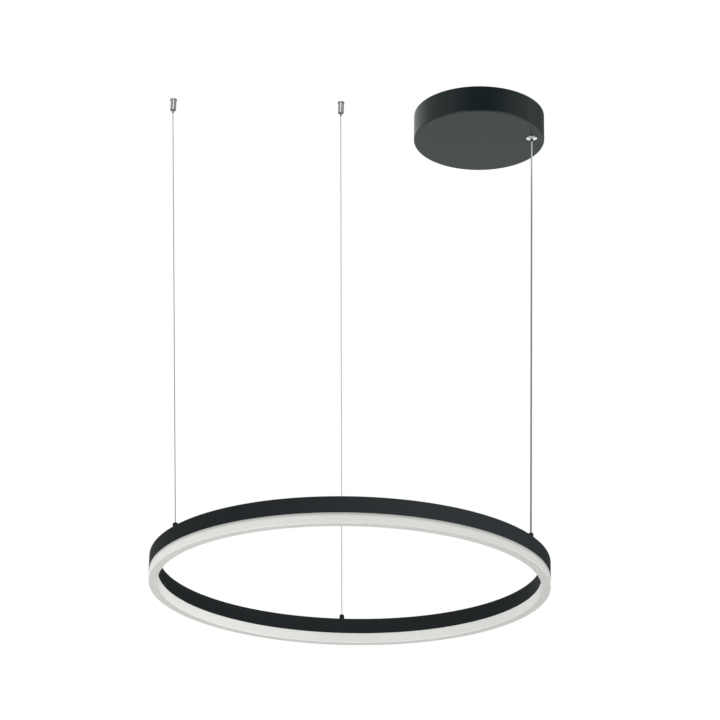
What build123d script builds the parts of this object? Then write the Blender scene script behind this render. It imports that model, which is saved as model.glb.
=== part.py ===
from build123d import *
import os
from math import cos, pi, radians, sin, sqrt, tan

# An LED ring pendant. Millimetres, +Z up. The origin is on the ceiling, at the centre of the canopy.
# The ceiling points stand in a row along X; the ring hangs from them on two wires and a power cable.

os.makedirs("parts", exist_ok=True)

# Hang: where the ring is, and where the three lines cross the swing axis
drop = 810.0             # ceiling to the underside of the ring
row_y = -19.0            # row of ceiling points from the canopy centre; the ring hangs under the row
ring_x = -196.0          # ring centre from the canopy centre
left_x = -492.0          # left wire on the swing axis
rear_x = -224.0          # rear wire on the swing axis
outlet_rim = 22.0        # power cable, in from the canopy's side

# Ring profile and diffuser
ring_d = 600.0
ring_w = 14.0
profile_h = 24.0
diffuser_h = 16.0
profile_wall = 1.5
web_t = 2.0              # top of the profile
chamber_h = 10.0         # closed wiring chamber under the top
shelf_t = 1.5            # seat of the LED strip
edge_break = 0.4
seam_gap = 0.2           # butt joint of the rolled profile
seam_angle = 30.0
diffuser_wall = 2.0
diffuser_inset = 0.3     # shadow line under the profile
diffuser_edge_r = 1.2
leg_t = 1.2              # legs of the diffuser, inside the profile
leg_h = 7.0
leg_gap = 0.1
leg_root = 1.0           # slope where a leg leaves the wall
snap_depth = 0.4
snap_h = 1.2
snap_z = 3.5             # snap bead above the foot of the profile

# Ring connectors
rear_angle = 89.3
left_angle = 207.0
feed_angle = 330.6
cap_h = 8.0
cap_wall = 1.2
cap_skirt = 1.0          # cap's wall round the stud
cap_edge = 0.7
neck_l = 2.8             # swaged end of a line: ball centre to the end of its neck
neck_wall = 0.35
mouth_gap = 0.4          # round the cable's neck, where the cap holds the ball back
mouth_hold = 0.45        # how far the cap closes over the ball
mouth_flare = 0.85       # how far the mouth opens at the cap's top
ball_end_depth = 2.4     # ball centre below the cap's top
socket_gap = 0.1
stud_head_h = 2.0
stud_head_gap = 1.0
stud_gap = 0.1
stud_top_gap = 0.4

# Joiner in the wiring chamber
joiner_sweep = 12.0      # degrees
joiner_gap = 0.2
joiner_room = 2.0        # chamber left open under the joiner
joiner_screw_d = 4.0
joiner_screw_sweep = 7.0
joiner_screw_l = 6.0
joiner_key = 2.0

# LED strip
strip_gap = 0.2          # strip to the diffuser's legs
strip_t = 0.6
strip_break = 2.0        # degrees left open at the feed
strip_lap = 0.5          # degrees of strip past the feed
chip_l = 3.5
chip_w = 2.8
chip_h = 0.8
chip_pitch = 3.0         # degrees
feed_lead_d = 0.8
feed_lead_pitch = 1.2
feed_lead_gap = 0.3

# Lines
wire_d = 1.2
cable_d = 2.6
line_gap = 0.4           # between a held end and the swinging run
tail_bend_r = 8.0        # bend of a wire at its nipple
tail_bend_drop = 1.0     # that bend below the nipple's mouth
cable_bend_r = 10.0      # bend of the cable in the canopy

# Cable gripper: nipple, balls in a taper, spring, plug
nipple_out = 3.5
nipple_wall = 0.6
nipple_gap = 0.08
guide_h = 3.5            # wall that guides the nipple
head_h = 4.0
grip_ball_d = 2.0
grip_balls = 3
grip_gap = 0.3           # ball to taper, and ball to line
taper = 8.0              # degrees
taper_h = 5.5
spring_h = 6.0
spring_wire = 0.5
spring_turns = 4.0
plug_t = 1.5
plug_step = 0.4

# Wire anchors at the ceiling
anchor_d = 9.4
anchor_tip_d = 5.4
anchor_tip_h = 1.5
base_d = 10.8
base_t = 2.0
boss_h = 3.5
boss_gap = 0.05
anchor_screw_hole_d = 4.2
anchor_countersink_rim = 0.45
anchor_countersink_h = 1.4

# Canopy cover and cable outlet
canopy_d = 210.0
canopy_h = 44.0
canopy_wall = 1.2
canopy_edge_r = 2.0
canopy_inner_r = 0.8
outlet_d = 17.0
outlet_lip = 0.7
outlet_h = 2.5
outlet_tip_d = 7.0
outlet_barrel_d = 11.0
outlet_hole_gap = 0.1
outlet_nut_flats = 16.0
outlet_nut_h = 4.0

# Ceiling plate and the screws that hold the cover to it
plate_t = 1.5
plate_gap = 9.3          # inside of the cover to the plate's rim
slot_spacing = 90.0
slot_w = 5.0
slot_l = 16.0
inlet_d = 18.0
tab_w = 16.0
tab_drop = 14.0
tab_gap = 1.0
tab_bend_r = 2.0
cover_screw_d = 3.0
cover_screw_l = 6.5
cover_screw_drop = 8.0
cover_screw_gap = 0.1
hex_key = 1.5

# LED driver
driver_l = 110.0
driver_w = 42.0
driver_h = 24.0
driver_wall = 1.6
driver_edge_r = 2.0
driver_rim = 26.0        # in from the plate's rim
ear_l = 9.0
ear_w = 12.0
ear_t = 2.0
fixing_d = 3.0
fixing_head_d = 5.5
fixing_head_h = 1.8
fixing_short = 0.1       # end of a fixing below the ceiling
lid_lip = 1.5
lid_gap = 0.2
post_d = 4.0
post_h = 2.5
board_t = 1.6
board_gap = 1.0
core_l = 22.0
core_w = 12.0
core_h = 14.0
core_limb = 4.0
winding_out = 3.5        # winding past the core, each side
winding_gap = 1.0
winding_r = 3.0
capacitor_d = 10.0
capacitor_h = 14.0
capacitor_pitch = 14.0
board_terminal_l = 8.0
board_terminal_side = 3.5
board_terminal_h = 13.5

# Leads and terminals under the plate
lead_d = 1.6
lead_drop = 7.0          # lead's axis under the plate
lead_bend_r = 10.0
lead_hole_gap = 0.2
lead_seat = 4.0          # length of a lead inside a terminal
pole_pitch = 7.0
terminal_rim = 16.0      # in from the plate's rim
terminal_y = -20.5
terminal_side = 0.5
terminal_l = 17.0
terminal_h = 15.0
clamp_d = 3.0
clamp_l = 4.0
clamp_hole_d = 3.4
connector_room = 1.0     # straight cable between its bend and the connector
connector_side = 3.5
connector_l = 13.0
connector_h = 11.5
earth_y = 12.0
earth_stud_d = 4.0
earth_nut_flats = 7.0
earth_nut_h = 2.5
earth_lug_d = 8.0
earth_lug_t = 1.0
earth_lug_l = 5.0
earth_lug_lap = 0.4      # crimp barrel into the lug's eye
earth_lug_wall = 0.5
earth_stud_over = 1.0

# Places that follow from the sizes
ring_low = -drop
ring_split = ring_low + diffuser_h
ring_top = ring_split + profile_h
shelf_top = ring_top - web_t - chamber_h
shelf_low = shelf_top - shelf_t
ring_out = ring_d / 2
ring_in = ring_out - ring_w
ring_mid = (ring_out + ring_in) / 2
axis_z = -(canopy_h + outlet_h + nipple_out)
ball_z = ring_top + cap_h - ball_end_depth
canopy_r = canopy_d / 2
cover_in = canopy_r - canopy_wall
plate_r = cover_in - plate_gap
outlet_x = canopy_r - outlet_rim
driver_y = plate_r - driver_rim - driver_w / 2
terminal_x = terminal_rim - plate_r
lead_z = -plate_t - lead_drop
gripper_h = nipple_out + guide_h + head_h + spring_h + plug_t
anchor_mouth = -(base_t + boss_h + gripper_h)
mouth_r = cable_d / 2 + neck_wall + mouth_gap
ball_end_r = mouth_r + mouth_hold
socket_r = ball_end_r + socket_gap
cap_r = socket_r + cap_wall
stud_r = cap_r - cap_skirt
stud_up = cap_h - ball_end_depth - ball_end_r - stud_top_gap
stud_bore_r = (feed_lead_pitch + feed_lead_d) / 2 + feed_lead_gap
stud_head_r = ring_w / 2 - profile_wall - stud_head_gap
strip_w = ring_w - 2 * (profile_wall + leg_gap + leg_t + strip_gap)


def turned(*points):
    """A solid turned about Z from its half section, given as (radius, height) points."""
    return revolve(make_face(Plane.XZ * Polyline(*points, close=True)), Axis.Z)


def rod(d, low, high, x=0.0, y=0.0):
    """An upright cylinder between two heights."""
    return Pos(x, y, (low + high) / 2) * Cylinder(d / 2, high - low)


def block(length, width, low, high, x=0.0, y=0.0):
    """An upright block between two heights."""
    return Pos(x, y, (low + high) / 2) * Box(length, width, high - low)


def hex_rod(flats, low, high, x=0.0, y=0.0):
    """An upright hexagon between two heights."""
    return extrude(Pos(x, y, low) * RegularPolygon(flats / 2, 6, major_radius=False), high - low)


def line_rod(d, start, end):
    """A straight cylinder from one point to another."""
    run = end - start
    return extrude(Plane(origin=start, z_dir=run) * Circle(d / 2), run.length)


def bent_rod(d, bend_r, *points):
    """A cord along straight runs joined by arcs of one radius."""
    route = FilletPolyline(*points, radius=bend_r)
    return sweep(Plane(origin=route @ 0, z_dir=route % 0) * Circle(d / 2), path=route)


def save(name, *solids):
    """Write a node, one STEP file of one or more separate solids."""
    found = [solid for shape in solids for solid in shape.solids()]
    export_step(found[0] if len(found) == 1 else Compound(found), f"parts/{name}.step")


# The three lines run straight from a point on the swing axis to a ball end in the ring
def ball_end(angle):
    """Centre of the ball end in the connector at this angle."""
    a = radians(angle)
    return Vector(ring_x + ring_mid * cos(a), row_y + ring_mid * sin(a), ball_z)


def axis_point(x):
    """Where a line crosses the swing axis."""
    return Vector(x, row_y, axis_z)


def toward_ring(x, angle):
    """Direction of a line, downwards."""
    return (ball_end(angle) - axis_point(x)).normalized()


def run(d, x, angle):
    """The swinging length of a line, down to the neck of its ball end."""
    way = toward_ring(x, angle)
    return line_rod(d, axis_point(x) + way * line_gap, ball_end(angle) - way * neck_l)


def swaged_end(d, x, angle):
    """Ball end of a line, with the neck that the line enters."""
    centre = ball_end(angle)
    neck = line_rod(d + 2 * neck_wall, centre, centre - toward_ring(x, angle) * neck_l)
    return Pos(*centre) * Sphere(ball_end_r) + neck


left_wire = run(wire_d, left_x, left_angle)
rear_wire = run(wire_d, rear_x, rear_angle)
power_cable = run(cable_d, outlet_x, feed_angle)
save("left_wire", left_wire)
save("rear_wire", rear_wire)
save("power_cable", power_cable)
save("wire_ball_ends", swaged_end(wire_d, left_x, left_angle), swaged_end(wire_d, rear_x, rear_angle))
save("cable_ball_end", swaged_end(cable_d, outlet_x, feed_angle))
for x, angle in ((left_x, left_angle), (rear_x, rear_angle), (outlet_x, feed_angle)):
    length = (ball_end(angle) - axis_point(x)).length - neck_l - line_gap
    print("straight line, mm:", round(length, 1))


# Cable gripper: three balls in a taper hold the line, and pressing the nipple up frees it
class Gripper:
    """The inside of a gripper for one line, with its nipple's mouth at a given point."""

    def __init__(self, line_d, mouth):
        self.mouth = mouth
        self.tip_z = mouth.Z + nipple_out
        self.seat_z = self.tip_z + guide_h
        self.head_z = self.seat_z + head_h
        self.plug_z = self.head_z + spring_h
        self.top_z = self.plug_z + plug_t
        self.ball_z = self.seat_z + head_h / 2
        self.ball_at = line_d / 2 + grip_gap + grip_ball_d / 2
        self.bore = line_d / 2 + grip_gap
        self.nipple = self.bore + nipple_wall
        self.head = self.ball_at + grip_gap
        slope = tan(radians(taper))
        at_ball = self.ball_at + grip_ball_d / 2 / cos(radians(taper)) + grip_gap
        self.low_r = at_ball - slope * head_h / 2
        self.high_r = self.low_r + slope * taper_h
        self.plug = self.high_r + plug_step

    def place(self, shape):
        """Move a shape turned about Z to the gripper's own axis."""
        return Pos(self.mouth.X, self.mouth.Y, 0) * shape

    def bore_section(self):
        """Inside of the barrel, from the tip to the top: guide, taper, chamber, plug seat."""
        hole = self.nipple + nipple_gap
        taper_z = self.seat_z + taper_h
        return [(hole, self.tip_z), (hole, self.seat_z), (self.low_r, self.seat_z),
                (self.high_r, taper_z), (self.high_r, self.plug_z), (self.plug, self.plug_z)]

    def make_nipple(self):
        """Hollow nipple with a head that carries the balls in three cross holes."""
        low = self.mouth.Z
        solid = turned((self.bore + nipple_wall / 2, low), (self.nipple - edge_break / 2, low),
                       (self.nipple, low + edge_break), (self.nipple, self.seat_z),
                       (self.head, self.seat_z), (self.head, self.head_z),
                       (self.bore, self.head_z), (self.bore, low + nipple_wall))
        for i in range(grip_balls):
            hole = Rot(0, 90, 0) * Pos(0, 0, self.head / 2) * Cylinder(grip_ball_d / 2, self.head)
            solid -= Pos(0, 0, self.ball_z) * Rot(0, 0, i * 360 / grip_balls) * hole
        return self.place(solid)

    def make_balls(self):
        """The balls, spaced round the line."""
        ball = Pos(self.ball_at, 0, self.ball_z) * Sphere(grip_ball_d / 2)
        return [self.place(Rot(0, 0, i * 360 / grip_balls) * ball) for i in range(grip_balls)]

    def make_spring(self):
        """Square-wire spring between the nipple's head and the plug."""
        coil_r = (self.bore + self.head) / 2
        height = spring_h - spring_wire
        route = Pos(0, 0, self.head_z + spring_wire / 2) * Helix(height / spring_turns, height, coil_r)
        across = Plane(origin=route @ 0, z_dir=route % 0, x_dir=(1, 0, 0))
        wire = across * Rectangle(spring_wire, spring_wire)
        return self.place(sweep(wire, path=route, is_frenet=True))

    def make_plug(self):
        """Plug that closes the barrel behind the spring, bored for the line."""
        return self.place(turned((self.bore, self.plug_z), (self.plug, self.plug_z),
                                 (self.plug, self.top_z), (self.bore, self.top_z)))


def wire_anchor(name, x, angle):
    """A ceiling anchor whose nipple points its wire at the ring."""
    way = toward_ring(x, angle)
    bend = axis_point(x) + way * ((anchor_mouth - tail_bend_drop - axis_z) / way.Z)
    grip = Gripper(wire_d, Vector(bend.X, bend.Y, anchor_mouth))
    cone_z = grip.tip_z + anchor_tip_h
    outside = [(anchor_d / 2, -base_t), (anchor_d / 2, cone_z), (anchor_tip_d / 2, grip.tip_z)]
    barrel = turned(*outside, *grip.bore_section(), (grip.plug, -base_t))
    boss = grip.plug - boss_gap
    hole = anchor_screw_hole_d / 2
    boss_low = -base_t - boss_h
    base = turned((hole, 0), (base_d / 2, 0), (base_d / 2, -base_t), (boss, -base_t), (boss, boss_low),
                  (boss - anchor_countersink_rim, boss_low), (hole, boss_low + anchor_countersink_h))
    save(f"{name}_anchor_base", grip.place(base))
    save(f"{name}_anchor_barrel", grip.place(barrel))
    save(f"{name}_anchor_plug", grip.make_plug())
    save(f"{name}_anchor_spring", grip.make_spring())
    save(f"{name}_anchor_nipple", grip.make_nipple())
    save(f"{name}_anchor_balls", *grip.make_balls())
    tail = bent_rod(wire_d, tail_bend_r, (bend.X, bend.Y, grip.top_z), bend, axis_point(x))
    save(f"{name}_wire_tail", tail)
    print(name, "anchor at", round(bend.X, 2), round(bend.Y, 2), "tail bend radius", tail_bend_r)


wire_anchor("left", left_x, left_angle)
wire_anchor("rear", rear_x, rear_angle)

# Cable outlet in the canopy, the same gripper in a flanged body with a nut
outlet = Gripper(cable_d, axis_point(outlet_x))
outlet_body = turned((outlet_barrel_d / 2, outlet.top_z), (outlet_barrel_d / 2, -canopy_h),
                     (outlet_d / 2, -canopy_h), (outlet_d / 2, -canopy_h - outlet_lip),
                     (outlet_tip_d / 2, outlet.tip_z), *outlet.bore_section(), (outlet.plug, outlet.top_z))
nut_z = -canopy_h + canopy_wall
outlet_nut = hex_rod(outlet_nut_flats, nut_z, nut_z + outlet_nut_h) - rod(outlet_barrel_d, nut_z, 0)
save("outlet_body", outlet.place(outlet_body))
save("outlet_nut", outlet.place(outlet_nut))
save("outlet_plug", outlet.make_plug())
save("outlet_spring", outlet.make_spring())
save("outlet_nipple", outlet.make_nipple())
save("outlet_balls", *outlet.make_balls())

# Tail of the power cable: up through the outlet and over to the output connector
connector_face = row_y + cable_bend_r + connector_room
cable_seat = connector_face + lead_seat
cable_tail = bent_rod(cable_d, cable_bend_r, (outlet_x, row_y, axis_z + line_gap), (outlet_x, row_y, lead_z),
                      (outlet_x, cable_seat, lead_z))
save("power_cable_tail", cable_tail)
print("power cable tail bend radius", cable_bend_r)

# Canopy cover, a drawn cup that is open to the ceiling
cover = fillet(rod(canopy_d, -canopy_h, 0).edges().sort_by(Axis.Z)[0], canopy_edge_r)
cover -= fillet(rod(2 * cover_in, nut_z, 0).edges().sort_by(Axis.Z)[0], canopy_inner_r)
cover -= rod(outlet_barrel_d + 2 * outlet_hole_gap, -canopy_h, nut_z, outlet_x, row_y)
side_hole = Rot(0, 90, 0) * Cylinder(cover_screw_d / 2 + cover_screw_gap, 2 * canopy_d)
cover -= Pos(0, 0, -cover_screw_drop) * side_hole
save("canopy_cover", cover)

# Ceiling plate with two slots for the ceiling screws, a cable inlet and two tabs for the cover
tab_x = cover_in - tab_gap
plate = rod(2 * plate_r, -plate_t, 0) - rod(inlet_d, -plate_t, 0)
for side in (-1, 1):
    ear = block(2 * tab_x, tab_w, -tab_drop, 0)
    ear -= block(2 * (tab_x - plate_t), tab_w, -tab_drop, -plate_t)
    ear = ear & block(tab_x, tab_w, -tab_drop, 0, side * tab_x / 2)
    corner = ear.edges().filter_by(Axis.Y).group_by(Axis.Z)[-1].sort_by(Axis.X)[-1 if side > 0 else 0]
    plate += fillet(corner, tab_bend_r)
    plate -= extrude(Pos(side * slot_spacing / 2, 0, -plate_t) * SlotOverall(slot_l, slot_w), plate_t)
plate -= rod(inlet_d, -plate_t, 0)
plate -= Pos(0, 0, -cover_screw_drop) * Rot(0, 90, 0) * Cylinder(cover_screw_d / 2, 2 * canopy_d)
ear_x = driver_l / 2 + ear_l / 2
mount_x = terminal_x + pole_pitch / 2
earth_x = terminal_x + pole_pitch
for x, y, d in ((-ear_x, driver_y, fixing_d), (ear_x, driver_y, fixing_d),
                (mount_x, terminal_y, fixing_d), (earth_x, earth_y, earth_stud_d)):
    plate -= rod(d, -plate_t, 0, x, y)
save("ceiling_plate", plate)

# Grub screws in the tabs, turned out into the cover's side holes
screw = rod(cover_screw_d, -cover_screw_l, 0) - hex_rod(hex_key, -hex_key, 0)
screw_in = canopy_r - cover_screw_gap
save("cover_screws", *[Pos(side * screw_in, 0, -cover_screw_drop) * Rot(0, side * 90, 0) * screw
                       for side in (-1, 1)])

# LED driver, a case that is open below and closed by a lid; the board stands on the lid's posts
case_low = -plate_t - driver_h + driver_wall
lid_low = -plate_t - driver_h
board_low = case_low + post_h
board_top = board_low + board_t


def rounded(length, width, low, high, r):
    """A block on the driver's centre with rounded upright edges."""
    return fillet(block(length, width, low, high, 0, driver_y).edges().filter_by(Axis.Z), r)


case = rounded(driver_l, driver_w, case_low, -plate_t, driver_edge_r)
case -= block(driver_l - 2 * driver_wall, driver_w - 2 * driver_wall, case_low, -plate_t - driver_wall,
              0, driver_y)
for side in (-1, 1):
    ear = block(ear_l, ear_w, -plate_t - ear_t, -plate_t, side * ear_x, driver_y)
    case += ear - rod(fixing_d, -plate_t - ear_t, -plate_t, side * ear_x, driver_y)
lead_rows = (driver_y - pole_pitch / 2, driver_y + pole_pitch / 2)
for y in lead_rows:
    hole = Rot(0, 90, 0) * Cylinder(lead_d / 2 + lead_hole_gap, 2 * driver_l)
    case -= Pos(0, y, lead_z) * hole
save("driver_case", case)

inner_l = driver_l - 2 * (driver_wall + lid_gap)
inner_w = driver_w - 2 * (driver_wall + lid_gap)
lid = rounded(driver_l, driver_w, lid_low, case_low, driver_edge_r)
lip_top = case_low + lid_lip
lip = block(inner_l, inner_w, case_low, lip_top, 0, driver_y)
lid += lip - block(inner_l - 2 * driver_wall, inner_w - 2 * driver_wall, case_low, lip_top, 0, driver_y)
board_l = inner_l - 2 * (driver_wall + board_gap)
board_w = inner_w - 2 * (driver_wall + board_gap)
post_x = (board_l - post_d) / 2
post_y = (board_w - post_d) / 2
for x in (-post_x, post_x):
    for y in (-post_y, post_y):
        lid += rod(post_d, case_low, board_low, x, driver_y + y)
save("driver_lid", lid)
save("driver_board", block(board_l, board_w, board_low, board_top, 0, driver_y))

core = block(core_l, core_w, board_top, board_top + core_h, 0, driver_y)
winding = rounded(core_l - 2 * core_limb, core_w + 2 * winding_out, board_top + winding_gap,
                  board_top + core_h - winding_gap, winding_r)
save("driver_transformer", core + winding)
can_x = core_l / 2 + capacitor_pitch
save("driver_capacitors", *[rod(capacitor_d, board_top, board_top + capacitor_h, x, driver_y)
                            for x in (-can_x, can_x)])
board_end = board_l / 2 - board_terminal_l / 2
board_terminal_w = pole_pitch + 2 * board_terminal_side
board_terminal_top = board_top + board_terminal_h
board_terminal = block(board_terminal_l, board_terminal_w, board_top, board_terminal_top, 0, driver_y)
save("driver_terminals", *[Pos(x, 0, 0) * board_terminal for x in (-board_end, board_end)])


def fixing(x, y, head_z):
    """A pan-head screw from below, into the plate."""
    shank = rod(fixing_d, head_z, -fixing_short, x, y)
    head = rod(fixing_head_d, head_z - fixing_head_h, head_z, x, y)
    return shank + head


save("driver_screws", *[fixing(side * ear_x, driver_y, -plate_t - ear_t) for side in (-1, 1)])

# Mains terminal block with three poles, a clamp screw at each end of a pole
terminal_low = -plate_t - terminal_h
terminal_w = 3 * pole_pitch + 2 * terminal_side
terminal = block(terminal_w, terminal_l, terminal_low, -plate_t, terminal_x, terminal_y)
poles = [terminal_x + i * pole_pitch for i in (-1, 0, 1)]
clamps = []
for x in poles:
    for end in (-1, 1):
        face = terminal_y + end * (terminal_l / 2 - lead_seat / 2)
        entry = Rot(90, 0, 0) * Cylinder(lead_d / 2 + lead_hole_gap, lead_seat)
        clamp_y = terminal_y + end * (terminal_l / 2 - lead_seat)
        clamp_top = lead_z - lead_d
        terminal -= Pos(x, face, lead_z) * entry
        terminal -= rod(clamp_hole_d, terminal_low, clamp_top, x, clamp_y)
        clamps.append(rod(clamp_d, clamp_top - clamp_l, clamp_top, x, clamp_y))
terminal -= rod(fixing_d, terminal_low, -plate_t, mount_x, terminal_y)
terminal -= rod(fixing_head_d, terminal_low, terminal_low + fixing_head_h, mount_x, terminal_y)
save("terminal_block", terminal)
save("terminal_clamp_screws", *clamps)
save("terminal_screw", fixing(mount_x, terminal_y, terminal_low + fixing_head_h))

# Output connector, where the cable's tail meets the driver's output leads
connector_w = pole_pitch + 2 * connector_side
connector_end = connector_face + connector_l
output_poles = (outlet_x - pole_pitch / 2, outlet_x + pole_pitch / 2)
joint = block(connector_w, connector_l, -plate_t - connector_h, -plate_t, outlet_x,
              (connector_face + connector_end) / 2)
joint -= line_rod(cable_d, Vector(outlet_x, connector_face, lead_z), Vector(outlet_x, cable_seat, lead_z))
output_end = connector_end - lead_seat
for x in output_poles:
    joint -= line_rod(lead_d, Vector(x, connector_end, lead_z), Vector(x, output_end, lead_z))
save("output_connector", joint)

# Leads under the plate, from the driver's ends round to the terminal block and the connector
lead_start = board_l / 2
terminal_end = terminal_y + terminal_l / 2 - lead_seat


def lead(start_x, y, x, end_y):
    """A lead along the driver's end row, round one corner and into a pole."""
    return bent_rod(lead_d, lead_bend_r, (start_x, y, lead_z), (x, y, lead_z), (x, end_y, lead_z))


mains_poles = (poles[1], poles[0])
save("mains_leads", *[lead(-lead_start, y, x, terminal_end) for x, y in zip(mains_poles, lead_rows)])
save("output_leads", *[lead(lead_start, y, x, output_end) for x, y in zip(output_poles, lead_rows)])
print("lead bend radius", lead_bend_r)

# Earth stud with a lug between two nuts
lug_top = lead_z + earth_lug_t / 2
lug_low = lug_top - earth_lug_t
stud_low = lug_low - earth_nut_h - earth_stud_over
lug_end = earth_y - earth_lug_d / 2 - earth_lug_l + earth_lug_lap
earth_stud = rod(earth_stud_d, stud_low, -fixing_short, earth_x, earth_y)
lug = rod(earth_lug_d, lug_low, lug_top, earth_x, earth_y)
lug += block(lead_d + 2 * earth_lug_wall, earth_lug_l, lead_z - lead_d / 2, lead_z + lead_d / 2, earth_x,
             lug_end + earth_lug_l / 2)
lug -= rod(earth_stud_d, lug_low, lug_top, earth_x, earth_y)
nut = hex_rod(earth_nut_flats, 0, earth_nut_h) - rod(earth_stud_d, 0, earth_nut_h)
earth_start = Vector(earth_x, terminal_end, lead_z)
save("earth_stud", earth_stud)
save("earth_lug", lug)
save("earth_nuts", *[Pos(earth_x, earth_y, low) * nut for low in (lug_low - earth_nut_h, lug_top)])
save("earth_lead", line_rod(lead_d, earth_start, Vector(earth_x, lug_end, lead_z)))

# Ring profile: a rolled extrusion with a closed chamber on top and an open channel below
ring_at = Pos(ring_x, row_y, 0)
in_face = ring_in + profile_wall
out_face = ring_out - profile_wall
snap_low = ring_split + snap_z
snap_high = snap_low + snap_h
edge_z = ring_top - edge_break
section = Polyline((ring_in, ring_split), (ring_in, edge_z), (ring_in + edge_break, ring_top),
                   (ring_out - edge_break, ring_top), (ring_out, edge_z), (ring_out, ring_split),
                   (out_face, ring_split), (out_face, snap_low), (out_face + snap_depth, snap_low),
                   (out_face + snap_depth, snap_high), (out_face, snap_high), (out_face, shelf_low),
                   (in_face, shelf_low), (in_face, snap_high), (in_face - snap_depth, snap_high),
                   (in_face - snap_depth, snap_low), (in_face, snap_low), (in_face, ring_split), close=True)
chamber = Polyline((in_face, shelf_top), (in_face, shelf_top + chamber_h),
                   (out_face, shelf_top + chamber_h), (out_face, shelf_top), close=True)
seam_sweep = 180 * seam_gap / (pi * ring_mid)
profile = revolve(make_face(Plane.XZ * section) - make_face(Plane.XZ * chamber), Axis.Z, 360 - seam_sweep)
profile = Rot(0, 0, seam_angle + seam_sweep / 2) * profile


def on_ring(shape, angle):
    """Place a shape, made at the origin, on the ring's middle line."""
    return ring_at * Rot(0, 0, angle) * Pos(ring_mid, 0, 0) * shape


profile = ring_at * profile
connector_angles = (left_angle, rear_angle, feed_angle)
for angle in connector_angles:
    profile -= on_ring(rod(2 * (stud_r + stud_gap), ring_top - web_t, ring_top), angle)
profile -= on_ring(rod(2 * stud_bore_r, shelf_low, shelf_top), feed_angle)
screw_angles = (seam_angle - joiner_screw_sweep / 2, seam_angle + joiner_screw_sweep / 2)
for angle in screw_angles:
    profile -= on_ring(rod(joiner_screw_d, ring_top - web_t, ring_top), angle)
save("ring_profile", profile)

# Joiner bar across the butt joint, held by two grub screws from above
joiner_top = shelf_top + chamber_h
joiner_low = shelf_top + joiner_room
bar = Polyline((in_face + joiner_gap, joiner_low), (in_face + joiner_gap, joiner_top),
               (out_face - joiner_gap, joiner_top), (out_face - joiner_gap, joiner_low), close=True)
bar = make_face(Plane.XZ * bar)
joiner = ring_at * Rot(0, 0, seam_angle - joiner_sweep / 2) * revolve(bar, Axis.Z, joiner_sweep)
for angle in screw_angles:
    joiner -= on_ring(rod(joiner_screw_d, ring_top - joiner_screw_l, joiner_top), angle)
save("ring_joiner", joiner)
grub = rod(joiner_screw_d, ring_top - joiner_screw_l, ring_top)
grub -= hex_rod(joiner_key, ring_top - joiner_key, ring_top)
save("joiner_screws", *[on_ring(grub, angle) for angle in screw_angles])

# Opal diffuser: a U whose legs snap into the channel
skin_in = ring_in + diffuser_inset
skin_out = ring_out - diffuser_inset
leg_out = out_face - leg_gap
leg_in = in_face + leg_gap
bead_low = snap_low + leg_gap
bead_high = snap_high - leg_gap
leg_top = ring_split + leg_h
bead = snap_depth
floor_z = ring_low + diffuser_wall
wall_in = skin_in + diffuser_wall
wall_out = skin_out - diffuser_wall
root_z = ring_split - leg_root
u_shape = Polyline((skin_in, ring_low), (skin_in, ring_split), (leg_in, ring_split), (leg_in, bead_low),
                   (leg_in - bead, bead_low), (leg_in - bead, bead_high), (leg_in, bead_high),
                   (leg_in, leg_top), (leg_in + leg_t, leg_top), (leg_in + leg_t, ring_split),
                   (wall_in, root_z), (wall_in, floor_z), (wall_out, floor_z), (wall_out, root_z),
                   (leg_out - leg_t, ring_split), (leg_out - leg_t, leg_top), (leg_out, leg_top),
                   (leg_out, bead_high), (leg_out + bead, bead_high), (leg_out + bead, bead_low),
                   (leg_out, bead_low), (leg_out, ring_split), (skin_out, ring_split),
                   (skin_out, ring_low), close=True)
u_face = make_face(u_shape)
corners = [v for v in u_face.vertices() if abs(v.Y - ring_low) < 0.01]
u_face = fillet(corners, diffuser_edge_r)
diffuser = ring_at * revolve(Plane.XZ * u_face, Axis.Z)
save("diffuser", diffuser)

# LED strip under the shelf, open for a short way beside the feed, with its chips facing down
strip_sweep = 360 - strip_break
strip_start = feed_angle + strip_lap
strip_in = ring_mid - strip_w / 2
strip_out = ring_mid + strip_w / 2
strip_low = shelf_low - strip_t
strip_face = make_face(Plane.XZ * Polyline((strip_in, shelf_low), (strip_out, shelf_low),
                                           (strip_out, strip_low), (strip_in, strip_low), close=True))
strip = ring_at * Rot(0, 0, strip_start - strip_sweep) * revolve(strip_face, Axis.Z, strip_sweep)
save("led_strip", strip)
chip = block(chip_w, chip_l, strip_low - chip_h, strip_low)
chip_count = int(strip_sweep / chip_pitch) - 1
first_chip = strip_start - chip_pitch
save("led_chips", *[on_ring(chip, first_chip - i * chip_pitch) for i in range(chip_count)])

# Ring connectors: a hollow stud from inside the chamber, and a cap that holds the ball end
head_top = ring_top - web_t
stud = turned((stud_bore_r, head_top - stud_head_h), (stud_head_r, head_top - stud_head_h),
              (stud_head_r, head_top), (stud_r, head_top), (stud_r, ring_top + stud_up),
              (stud_bore_r, ring_top + stud_up))
save("connector_studs", *[on_ring(stud, angle) for angle in connector_angles])
cap_top = ring_top + cap_h
cap = turned((0, ring_top), (cap_r, ring_top), (cap_r, cap_top - cap_edge),
             (cap_r - cap_edge, cap_top), (0, cap_top))
hold_z = ball_z + sqrt(ball_end_r ** 2 - mouth_r ** 2)
cap -= rod(2 * stud_r, ring_top, ring_top + stud_up)
cap -= rod(2 * socket_r, ring_top + stud_up, ball_z)
cap -= Pos(0, 0, ball_z) * Sphere(ball_end_r)
cap -= turned((0, ball_z), (mouth_r, ball_z), (mouth_r, hold_z),
              (mouth_r + mouth_flare, cap_top), (0, cap_top))
save("connector_caps", *[on_ring(cap, angle) for angle in connector_angles])

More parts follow.
